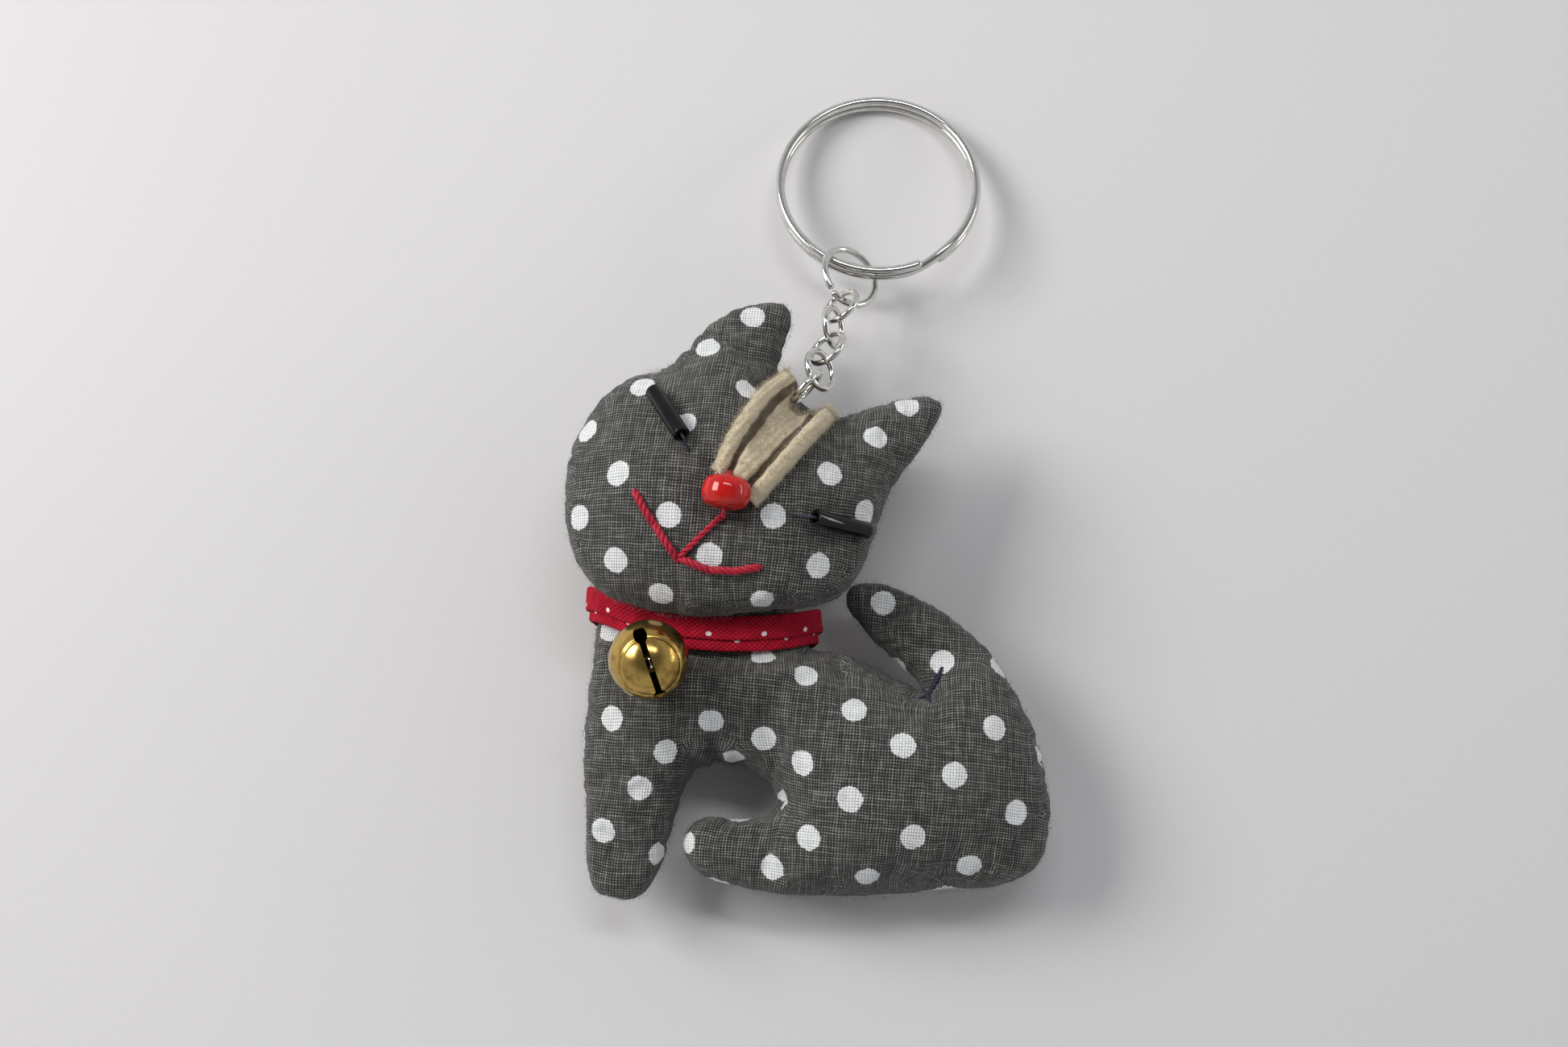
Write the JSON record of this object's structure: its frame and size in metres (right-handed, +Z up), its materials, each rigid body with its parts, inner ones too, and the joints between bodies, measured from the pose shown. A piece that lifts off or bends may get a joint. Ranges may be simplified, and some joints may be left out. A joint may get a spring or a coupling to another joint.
{
  "type": "plush keychain",
  "caption": "Stuffed dotted-cotton cat charm with a collar, a jingle bell, bead eyes and nose and a felt strip, on a short link chain and a split ring.",
  "frame": {"origin": "on the table, under the middle of the object's bounding box", "axes": "+Z up out of the table, towards the cat's front; +Y from the cat's feet towards the key ring; +X towards the tail"},
  "size_m": [0.0626, 0.111, 0.0313],
  "materials": {
    "dotted_cotton": "plain weave, printed dots",
    "stuffing": "loose fibre",
    "collar_cotton": "plain weave",
    "wool_felt": "fuzzy",
    "black_glass": "gloss",
    "red_glass": "gloss",
    "dark_thread": "twisted",
    "red_thread": "twisted, slight sheen",
    "brass": "polished, tarnished in the creases",
    "nickel": "bright plate"
  },
  "bodies": {
    "plush": {"body_front_panel": "dotted_cotton", "body_back_panel": "dotted_cotton", "body_stuffing": "stuffing", "head_front_panel": "dotted_cotton", "head_back_panel": "dotted_cotton", "head_stuffing": "stuffing", "collar_band": "collar_cotton", "felt_left_fold": "wool_felt", "felt_centre_fold": "wool_felt", "felt_right_fold": "wool_felt", "left_eye_thread": "dark_thread", "right_eye_thread": "dark_thread", "nose_thread": "red_thread", "nose_stitch": "red_thread", "mouth_stitch_left": "red_thread", "mouth_stitch_right": "red_thread", "tail_tack_stitch": "dark_thread", "neck_stitch": "dark_thread", "bell_thread": "red_thread"},
    "left_eye": {"left_eye_bead": "black_glass"},
    "right_eye": {"right_eye_bead": "black_glass"},
    "nose": {"nose_bead": "red_glass"},
    "bell": {"bell_front_shell": "brass", "bell_back_shell": "brass", "bell_loop": "brass"},
    "pellet": {"bell_pellet": "nickel"},
    "end_ring": {"end_ring": "nickel"},
    "chain_link_4": {"chain_link_4": "nickel"},
    "chain_link_3": {"chain_link_3": "nickel"},
    "chain_link_2": {"chain_link_2": "nickel"},
    "chain_link_1": {"chain_link_1": "nickel"},
    "jump_ring": {"jump_ring": "nickel"},
    "key_ring": {"split_key_ring": "nickel"}
  },
  "joints": [
    {"name": "left_eye_spin", "type": "hinge", "parent": "plush", "child": "left_eye", "pos_m": [-0.01769, 0.00506, 0.02459], "axis": [0.4391, -0.7557, 0.4858], "continuous": true},
    {"name": "right_eye_spin", "type": "hinge", "parent": "plush", "child": "right_eye", "pos_m": [0.00416, -0.00914, 0.02405], "axis": [0.7606, -0.078, -0.6445], "continuous": true},
    {"name": "nose_spin", "type": "hinge", "parent": "plush", "child": "nose", "pos_m": [-0.01014, -0.00584, 0.02821], "axis": [0.1392, 0.9903, 0], "continuous": true},
    {"name": "bell_swing", "type": "hinge", "parent": "plush", "child": "bell", "pos_m": [-0.02066, -0.02367, 0.01642], "axis": [-1, 0, 0], "range_deg": [0, 25]},
    {"name": "pellet_slide", "type": "slide", "parent": "bell", "child": "pellet", "axis": [0, 0, 1], "range_m": [0, 0.004]},
    {"name": "end_ring_swing", "type": "hinge", "parent": "plush", "child": "end_ring", "pos_m": [-0.00154, 0.00826, 0.0191], "axis": [0.7413, -0.6712, 0], "range_deg": [0, 30]},
    {"name": "chain_link_4_swing", "type": "hinge", "parent": "end_ring", "child": "chain_link_4", "pos_m": [0.00137, 0.01148, 0.0167], "axis": [0.3491, 0.3856, 0.8541], "range_deg": [-40, 20]},
    {"name": "chain_link_3_swing", "type": "hinge", "parent": "chain_link_4", "child": "chain_link_3", "pos_m": [0.00229, 0.01486, 0.01469], "axis": [0.5892, -0.5209, -0.6176], "range_deg": [-30, 30]},
    {"name": "chain_link_2_swing", "type": "hinge", "parent": "chain_link_3", "child": "chain_link_2", "pos_m": [0.00325, 0.01827, 0.01269], "axis": [0.7733, 0.1422, 0.6179], "range_deg": [-30, 30]},
    {"name": "chain_link_1_swing", "type": "hinge", "parent": "chain_link_2", "child": "chain_link_1", "pos_m": [0.00419, 0.02168, 0.01068], "axis": [0.3675, -0.5454, -0.7533], "range_deg": [-30, 30]},
    {"name": "jump_ring_swing", "type": "hinge", "parent": "chain_link_1", "child": "jump_ring", "pos_m": [0.00516, 0.02511, 0.00871], "axis": [0.7712, 0.1349, 0.6221], "range_deg": [-30, 30]},
    {"name": "key_ring_swing", "type": "hinge", "parent": "jump_ring", "child": "key_ring", "pos_m": [0.00425, 0.02961, 0.00683], "axis": [0.9659, -0.2527, 0.056], "range_deg": [-60, 80]}
  ]
}
